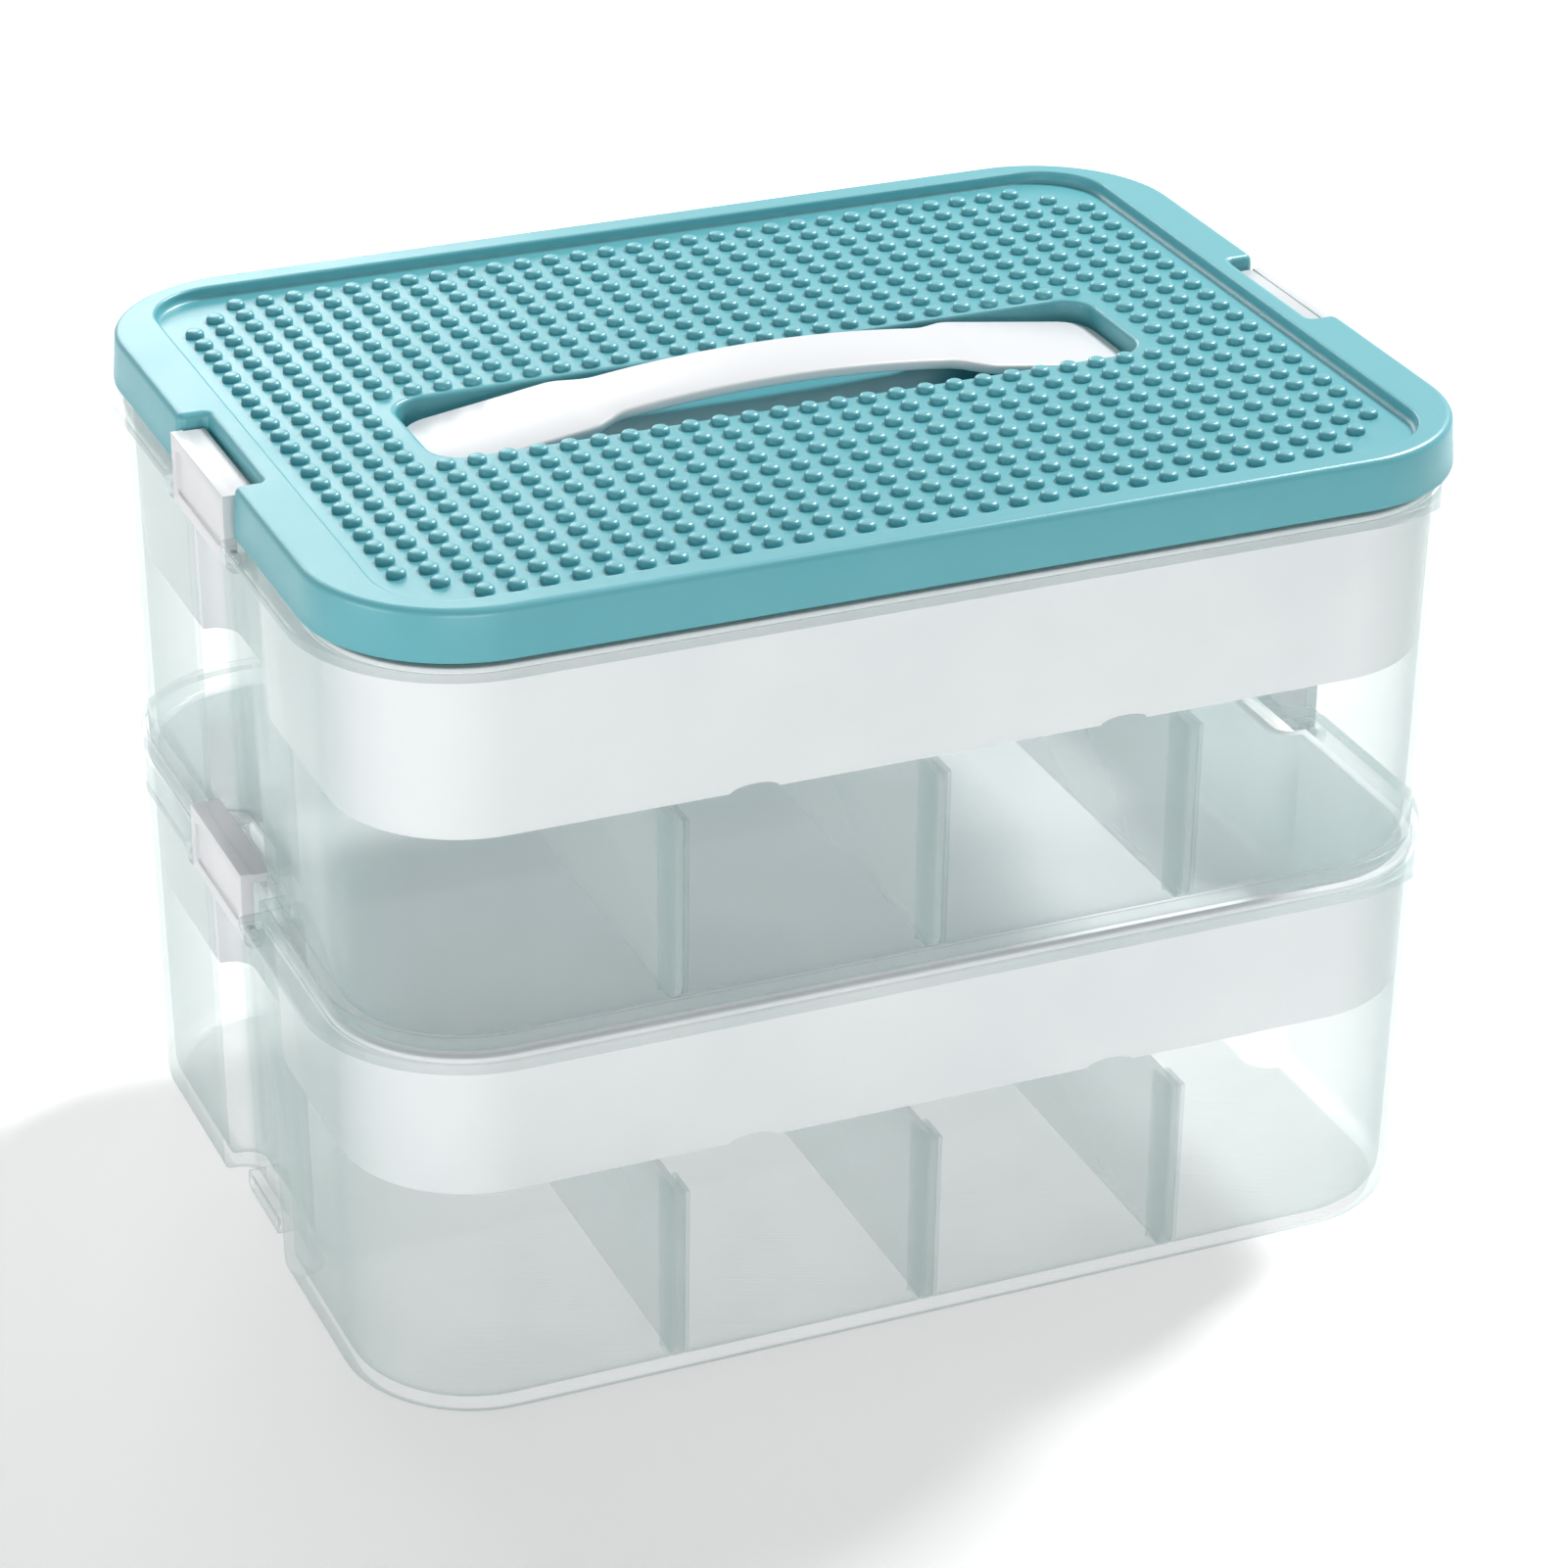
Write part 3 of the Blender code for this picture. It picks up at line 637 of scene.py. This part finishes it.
def make_tray(tier, finish):
    """A tray hung by its rim, hollow under its floor, with two low arches in its foot."""
    node = tier + "_tray"
    low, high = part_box(node)
    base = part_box(tier + "_box")[0].z
    bottom, top = low.z - base, high.z - base
    under_rim = top - TRAY_RIM_THICK
    floor = bottom + TRAY_FOOT_RIM + TRAY_FLOOR

    def outside(z):
        taper = TRAY_TAPER * (under_rim - z) / (under_rim - bottom)
        return inside_at(z).grown(-CLEARANCE - taper)

    foot = outside(bottom).grown(-TRAY_WALL)
    rim = UPSTAND_INNER.grown(-CLEARANCE)
    levels = [(foot, bottom + TRAY_FOOT_RIM)]
    levels += arc(foot, bottom, TRAY_FOOT_INNER_EDGE, -1, -1)
    levels += arc(outside(bottom), bottom, TRAY_FOOT_EDGE, 1, -1)[::-1]
    levels += [(outside(under_rim), under_rim)]
    levels += arc(rim, under_rim, TRAY_UNDER_RIM_EDGE, 1, -1)[::-1]
    levels += arc(rim, top, TRAY_RIM_EDGE, 1, 1)
    levels += arc(outside(under_rim).grown(-TRAY_WALL), top, TRAY_MOUTH_EDGE, -1, 1)[::-1]
    levels += arc(outside(floor).grown(-TRAY_WALL), floor, TRAY_INNER_RADIUS, 1, -1)
    bm = bmesh.new()
    skin(bm, levels)
    arches = bmesh.new()
    for side in (-1, 1):
        fresh = rod(arches, (0, 0, 0), 1, 1)
        scale = Matrix.Diagonal((TRAY_ARCH_HALF, 3 * WALL_HALF_Y, TRAY_ARCH_RISE, 1))
        place = Matrix.Translation((side * TRAY_ARCH_X, 0, bottom))
        bmesh.ops.transform(arches, matrix=place @ scale, verts=fresh)
    piece = carved(made(tier + "_lift_out_tray", bm), ("DIFFERENCE", made("arches", arches)))
    piece.data.transform(Matrix.Translation((0, 0, base)))
    return dressed(piece, finish, node, node)


# Latches


def make_latch(tier, place, finish):
    """A hinged plate with a hook along its top, a recess in its face and stub pins."""
    node = f"{tier}_latch_{place}"
    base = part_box(tier + "_box")[0].z
    back = LATCH_FACE - LATCH_THICK
    high = WALL_TOP + LATCH_RISE
    hook = high - HOOK_STEP
    profile = [
        (back, LATCH_LOW),
        (LATCH_FACE, LATCH_LOW),
        (LATCH_FACE, high),
        (back, high),
        (back, hook),
        (back - HOOK_REACH[tier], hook),
        (back - HOOK_REACH[tier], hook - HOOK_THICK),
        (back, hook - HOOK_THICK),
    ]
    bm = bmesh.new()
    side = plate(bm, [(x, z, 0, 0) for x, z in profile], lambda x, z: (x, -LATCH_HALF_Y, z))
    thicken(bm, side, (0, 2 * LATCH_HALF_Y, 0))
    bevel_sharp(bm, LATCH_EDGE, steps=3, least=50)
    middle = (LATCH_FACE, 0, (LATCH_LOW + high) / 2)
    front = nearest(bm, middle)
    bmesh.ops.inset_region(bm, faces=[front], thickness=FACE_FRAME, use_even_offset=True)
    bevel(bm, list(front.verts), FACE_CORNER, CHANNEL_STEPS, "VERTICES")
    sink(bm, nearest(bm, middle), (-1, 0, 0), FACE_RECESS / 2)
    pins = bmesh.new()
    for way in (-1, 1):
        pin_y = way * (LATCH_HALF_Y + (PIN_LENGTH - BITE) / 2)
        rod(pins, (PIN_X, pin_y, PIN_Z), PIN_RADIUS, PIN_LENGTH + BITE)
    piece = carved(made(node + "_plate", bm), ("UNION", made("pins", pins)))
    turn = Matrix.Rotation(math.pi if place == "left" else 0, 4, "Z")
    piece.data.transform(Matrix.Translation((0, 0, base)) @ turn)
    return dressed(piece, finish, node, node)


# Lid


def fill(bm, *loops):
    """Close the flat ring between loops of edges."""
    edges = [edge for loop in loops for edge in loop]
    bmesh.ops.triangle_fill(bm, use_beauty=True, use_dissolve=False, edges=edges)


def strap_height(x):
    """Height of the strap's top face in the lid: an arch that runs straight down into the well."""
    if abs(x) <= STRAP_ARCH_HALF:
        return STRAP_TOP - STRAP_ARCH_RADIUS + math.sqrt(STRAP_ARCH_RADIUS**2 - x**2)
    return STRAP_TOP - ARCH_DROP - ARCH_SLOPE * (abs(x) - STRAP_ARCH_HALF)


ARCH_DROP = STRAP_ARCH_RADIUS - math.sqrt(STRAP_ARCH_RADIUS**2 - STRAP_ARCH_HALF**2)
ARCH_SLOPE = STRAP_ARCH_HALF / math.sqrt(STRAP_ARCH_RADIUS**2 - STRAP_ARCH_HALF**2)
STRAP_TOP = LID_HEIGHT + STRAP_CROWN
STRAP_END_X = WELL_HALF_X - CLEARANCE
FIELD = LID_HEIGHT - FIELD_DEPTH
PLATE_BOTTOM = FIELD - PLATE_THICK
WELL_FLOOR = strap_height(STRAP_END_X) - STRAP_THICK - CLEARANCE
FIELD_PLAN = Pocket(
    LID_TOP_PLAN.half_x - RIM_WIDTH_X,
    LID_TOP_PLAN.half_y - RIM_WIDTH_Y,
    FIELD_CORNER,
)
WELL_PLAN = Pocket(WELL_HALF_X, WELL_HALF_Y, WELL_CORNER)


def make_lid(finish):
    """Skirt, wall down to the stud field, well, and the steps of the underside, joined by flats."""
    bm = bmesh.new()
    open_ends = {"first_cap": False, "last_cap": False}
    under_rim = LID_HEIGHT - RIM_THICK
    skirt = [(SKIRT_INNER.grown(-SUPPORT), under_rim), (SKIRT_INNER, under_rim)]
    skirt += arc(SKIRT_INNER, 0, SKIRT_EDGE, -1, -1)
    skirt += arc(SKIRT_OUTER, 0, SKIRT_EDGE, 1, -1)[::-1]
    skirt += arc(LID_TOP_PLAN, LID_HEIGHT, LID_EDGE_RADIUS, 1, 1)
    skirt += [(LID_TOP_PLAN.grown(-LID_EDGE_RADIUS - SUPPORT), LID_HEIGHT)]
    skirt_under, rim_outer = skin(bm, skirt, **open_ends)

    wall = [(FIELD_PLAN.grown(FIELD_TOP_RADIUS + SUPPORT), LID_HEIGHT)]
    wall += arc(FIELD_PLAN, LID_HEIGHT, FIELD_TOP_RADIUS, -1, 1)[::-1]
    wall += arc(FIELD_PLAN, FIELD, FIELD_FOOT_RADIUS, 1, -1)
    wall += [(FIELD_PLAN.grown(-FIELD_FOOT_RADIUS - SUPPORT), FIELD)]
    rim_inner, field_outer = skin(bm, wall, **open_ends)
    fill(bm, rim_outer, rim_inner)

    well = [(WELL_PLAN.grown(WELL_EDGE + SUPPORT), FIELD)]
    well += arc(WELL_PLAN, FIELD, WELL_EDGE, -1, 1)[::-1]
    well += arc(WELL_PLAN, WELL_FLOOR, WELL_FOOT_RADIUS, 1, -1)
    field_inner, _ = skin(bm, well, first_cap=False)
    fill(bm, field_outer, field_inner)

    below = FIELD_PLAN.grown(PLATE_THICK)
    step = [(below.grown(SUPPORT), under_rim), (below, under_rim)]
    step += [(below, PLATE_BOTTOM), (below.grown(-SUPPORT), PLATE_BOTTOM)]
    step_outer, step_inner = skin(bm, step, **open_ends)
    fill(bm, skirt_under, step_outer)

    below = WELL_PLAN.grown(PLATE_THICK)
    tub = [(below.grown(SUPPORT), PLATE_BOTTOM), (below, PLATE_BOTTOM)]
    tub += [(below, WELL_FLOOR - PLATE_THICK)]
    tub_outer, _ = skin(bm, tub, first_cap=False)
    fill(bm, step_inner, tub_outer)
    piece = made("lid_shell", bm, (0, 0, LID_BASE))
    return dressed(piece, finish, "lid", "lid")


def stud_places():
    """The grid of studs, less the corners and the strap's well."""
    spots = []
    for column in range(-STUD_COLUMNS, STUD_COLUMNS + 1):
        for row in range(-STUD_ROWS, STUD_ROWS + 1):
            from_corner = STUD_COLUMNS - abs(column) + STUD_ROWS - abs(row)
            in_well = abs(row) <= WELL_ROWS and abs(column) <= WELL_COLUMNS
            if from_corner >= LEAST_FROM_CORNER and not in_well:
                spots.append((column * STUD_PITCH, row * STUD_PITCH))
    return spots


def make_studs(finish):
    """One stud, round with a soft top edge, copied to every place on the grid."""
    single = bmesh.new()
    depth = STUD_RISE + BITE
    bmesh.ops.create_cone(
        single,
        cap_ends=True,
        segments=STUD_SIDES,
        radius1=STUD_RADIUS,
        radius2=STUD_RADIUS,
        depth=depth,
        matrix=Matrix.Translation((0, 0, FIELD - BITE + depth / 2)),
    )
    top = max(single.faces, key=lambda face: face.calc_center_median().z)
    bevel(single, list(top.edges), STUD_EDGE, STUD_EDGE_STEPS, "EDGES")
    bmesh.ops.recalc_face_normals(single, faces=single.faces)
    pattern = bpy.data.meshes.new("stud")
    single.to_mesh(pattern)
    single.free()
    bm = bmesh.new()
    for x, y in stud_places():
        start = len(bm.verts)
        bm.from_mesh(pattern)
        bm.verts.ensure_lookup_table()
        bmesh.ops.translate(bm, verts=bm.verts[start:], vec=(x, y, LID_BASE))
    bpy.data.meshes.remove(pattern)
    piece = made("lid_studs", bm)
    return dressed(piece, finish, "lid", "lid")


# Carrying strap


def strap_points():
    """The strap from above: wide ends with rounded corners, shoulders, and a narrow middle."""
    shoulder = (PAD_HALF_Y - STRAP_HALF_Y) * SHOULDER_SLOPE
    return all_round([
        (STRAP_END_X, PAD_HALF_Y, PAD_CORNER, CHANNEL_STEPS),
        (STRAP_ARCH_HALF + shoulder, PAD_HALF_Y, SHOULDER_RADIUS, CHANNEL_STEPS),
        (STRAP_ARCH_HALF - shoulder, STRAP_HALF_Y, SHOULDER_RADIUS, CHANNEL_STEPS),
    ])


def sliced(bm, x, **options):
    """Cut the mesh across at a distance along X. Gives the edges of the cut."""
    parts = bm.verts[:] + bm.edges[:] + bm.faces[:]
    done = bmesh.ops.bisect_plane(bm, geom=parts, plane_co=(x, 0, 0), dist=SLICE_SLACK, **options)
    return [part for part in done["geom_cut"] if isinstance(part, bmesh.types.BMEdge)]


def make_strap(finish):
    """A flat strap cut to its outline, sliced across and bent to the arch, in two halves.
    """
    count = int(2 * STRAP_END_X / STRAP_SLICE)
    for name, side in (("strap_left_half", -1), ("strap_right_half", 1)):
        bm = bmesh.new()
        face = plate(bm, strap_points(), lambda x, y: (x, y, 0))
        thicken(bm, face, (0, 0, -STRAP_THICK))
        bevel_sharp(bm, STRAP_EDGE, steps=3, least=60)
        for cut in range(1, count):
            sliced(bm, -STRAP_END_X + 2 * STRAP_END_X * cut / count, plane_no=(1, 0, 0))
        middle = sliced(bm, 0, plane_no=(-side, 0, 0), clear_outer=True)
        bmesh.ops.edgenet_fill(bm, edges=middle)
        for vert in bm.verts:
            vert.co.z += LID_BASE + strap_height(vert.co.x)
        piece = made(name, bm)
        piece.data.materials.append(finish)
        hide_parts("handle")
        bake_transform(piece)


# Materials


class Signal:
    """An output of one of the nodes, for arithmetic on what it carries."""

    def __init__(self, nodes, socket):
        self.nodes = nodes
        self.socket = socket

    def math(self, operation, first, second):
        return self.nodes.add("ShaderNodeMath", {"operation": operation}, {0: first, 1: second})

    def __add__(self, other):
        return self.math("ADD", self, other)

    def __sub__(self, other):
        return self.math("SUBTRACT", self, other)

    def __rsub__(self, other):
        return self.math("SUBTRACT", other, self)

    def __mul__(self, other):
        return self.math("MULTIPLY", self, other)

    __radd__ = __add__
    __rmul__ = __mul__

    def at_least(self, other):
        return self.math("MAXIMUM", self, other)

    def at_most(self, other):
        return self.math("MINIMUM", self, other)


class Nodes:
    """The nodes of a material or a world."""

    def __init__(self, tree):
        self.tree = tree

    def add(self, kind, settings, sockets, output=0):
        """Add a node, set it up, then give its sockets their values or links."""
        node = self.tree.nodes.new(kind)
        for name, setting in settings.items():
            setattr(node, name, setting)
        for name, value in sockets.items():
            self.connect(node.inputs[name], value)
        return Signal(self, node.outputs[output])

    def connect(self, socket, value):
        if isinstance(value, Signal):
            self.tree.links.new(value.socket, socket)
        else:
            socket.default_value = value

    def ray(self, kind):
        """1 for rays of a kind, and 0 for the others."""
        return self.add("ShaderNodeLightPath", {}, {}, f"Is {kind} Ray")


class Finish(Nodes):
    """A material, built node by node round one Principled shader."""

    def __init__(self, name):
        self.material = bpy.data.materials.new(name)
        self.material.use_nodes = True
        super().__init__(self.material.node_tree)
        self.shader = self.tree.nodes["Principled BSDF"]
        self.place = self.add("ShaderNodeTexCoord", {}, {}, "Object")

    def set(self, **sockets):
        """Set the shader's sockets, written with _ for a space."""
        for name, value in sockets.items():
            self.connect(self.shader.inputs[name.replace("_", " ")], value)

    def noise(self, scale, detail=2, stretch=(1, 1, 1)):
        """Noise from 0 to 1, with so many features to the metre."""
        place = self.add("ShaderNodeMapping", {}, {"Vector": self.place, "Scale": stretch})
        sockets = {"Vector": place, "Scale": scale, "Detail": detail}
        return self.add("ShaderNodeTexNoise", {}, sockets, "Fac")

    def ramp(self, signal, low, high):
        """Spread a signal's middle range over 0 to 1."""
        sockets = {"Value": signal, "From Min": low, "From Max": high}
        return self.add("ShaderNodeMapRange", {"clamp": True}, sockets)

    def blend(self, mask, first, second):
        """Mix two colours, which have the Mix node's inputs 6 and 7 and its output 2."""
        sockets = {"Factor": mask, 6: first, 7: second}
        return self.add("ShaderNodeMix", {"data_type": "RGBA"}, sockets, 2)

    def bump(self, height, distance):
        return self.add("ShaderNodeBump", {}, {"Height": height, "Distance": distance})


def grained(name):
    """Moulded plastic: a fine even grain, faint clouding, and a few flow lines."""
    pale, deep, roughness, gloss, grain = GRAINED[name]
    finish = Finish(name)
    cloud = finish.ramp(finish.noise(28, 3), 0.35, 0.65)
    flow = finish.ramp(finish.noise(60, 2, (1, 1, 0.15)), 0.4, 0.7)
    fine = finish.noise(2600)
    finish.set(
        Base_Color=finish.blend(cloud * 0.6 + flow * 0.3, pale, deep),
        Roughness=cloud * 0.05 + fine * 0.08 + (roughness - 0.06),
        Normal=finish.bump(fine + flow * 0.2, grain),
        Specular_IOR_Level=gloss,
    )
    return finish.material


def clear_plastic(name):
    """Thin clear plastic: a light haze, less clear where it is seen edge-on."""
    pale, deep, least = CLEAR[name]
    finish = Finish(name)
    haze = finish.ramp(finish.noise(22, 3), 0.3, 0.7)
    ripple = finish.noise(70, 2, (1, 1, 0.4))
    edge_on = finish.add("ShaderNodeLayerWeight", {}, {"Blend": 0.5}, "Facing")
    lit = 1 - finish.ray("Shadow").at_least(finish.ray("Diffuse")) * SHADE_LOSS
    finish.set(
        Base_Color=finish.blend(haze, pale, deep),
        Roughness=haze * 0.06 + 0.10,
        Normal=finish.bump(ripple, 0.00012),
        Alpha=(edge_on * edge_on * EDGE_ON_HAZE + haze * 0.03 + least) * lit,
        Specular_IOR_Level=0.8,
    )
    return finish.material


# Floor, lights and camera


def seen(nodes):
    """1 for rays that show the background, straight or by way of gloss and clear plastic."""
    return (nodes.ray("Camera") + nodes.ray("Glossy") + nodes.ray("Transmission")).at_most(1.0)


def make_floor():
    """A wide floor that glows where it is seen and fades out into the backdrop."""
    bm = bmesh.new()
    bmesh.ops.create_grid(bm, x_segments=1, y_segments=1, size=FLOOR_HALF)
    floor = made("floor", bm)
    finish = Finish("floor")
    out = finish.add("ShaderNodeVectorMath", {"operation": "LENGTH"}, {0: finish.place}, "Value")
    finish.set(
        Base_Color=(FLOOR_GREY, FLOOR_GREY, FLOOR_GREY, 1),
        Roughness=0.9,
        Specular_IOR_Level=0.0,
        Emission_Color=(1, 1, 1, 1),
        Emission_Strength=seen(finish) * FLOOR_GLOW,
        Alpha=1 - finish.ramp(out, *FLOOR_FADE),
    )
    floor.data.materials.append(finish.material)


def make_world():
    """A white backdrop, plain as a light and at full strength where it is seen."""
    world = bpy.data.worlds.new("studio")
    world.use_nodes = True
    bpy.context.scene.world = world
    nodes = Nodes(world.node_tree)
    background = nodes.tree.nodes["Background"]
    nodes.connect(background.inputs["Color"], (1, 1, 1, 1))
    strength = seen(nodes) * (1 - BACKDROP_LIGHT) + BACKDROP_LIGHT
    nodes.connect(background.inputs["Strength"], strength)


def make_lamps():
    for name, place, size, watts in LAMPS:
        light = bpy.data.lights.new(name, "AREA")
        light.shape = "RECTANGLE"
        light.size, light.size_y = size
        light.energy = watts
        lamp = bpy.data.objects.new(name, light)
        lamp.location = place
        way = Vector(LAMP_AIM) - Vector(place)
        lamp.rotation_euler = way.to_track_quat("-Z", "Y").to_euler()
        bpy.context.scene.collection.objects.link(lamp)


def make_camera():
    data = bpy.data.cameras.new("camera")
    data.sensor_width = SENSOR
    data.lens = FOCAL_PIXELS / PHOTO_SIDE * SENSOR
    camera = bpy.data.objects.new("camera", data)
    bpy.context.scene.collection.objects.link(camera)
    camera.matrix_world = (
        Matrix.Translation(CAMERA_PLACE)
        @ Matrix.Rotation(math.radians(CAMERA_AZIMUTH), 4, "Z")
        @ Matrix.Rotation(math.radians(90 - CAMERA_ELEVATION), 4, "X")
        @ Matrix.Rotation(math.radians(CAMERA_ROLL), 4, "Z")
    )
    bpy.context.scene.camera = camera


def build():
    clear, milky = clear_plastic("clear_plastic"), clear_plastic("divider_plastic")
    satin, white, teal = grained("tray_plastic"), grained("white_plastic"), grained("teal_plastic")
    for tier in TIERS:
        make_box(tier, clear)
        make_tray(tier, satin)
        for place in ("left", "middle", "right"):
            make_divider(f"{tier}_divider_{place}", milky)
        for place in ("left", "right"):
            make_latch(tier, place, white)
    make_lid(teal)
    make_studs(teal)
    make_strap(white)
    make_floor()
    make_world()
    make_lamps()
    make_camera()


bpy.context.scene.view_settings.view_transform = "Standard"
bpy.context.scene.cycles.transparent_max_bounces = TRANSPARENT_BOUNCES
build()
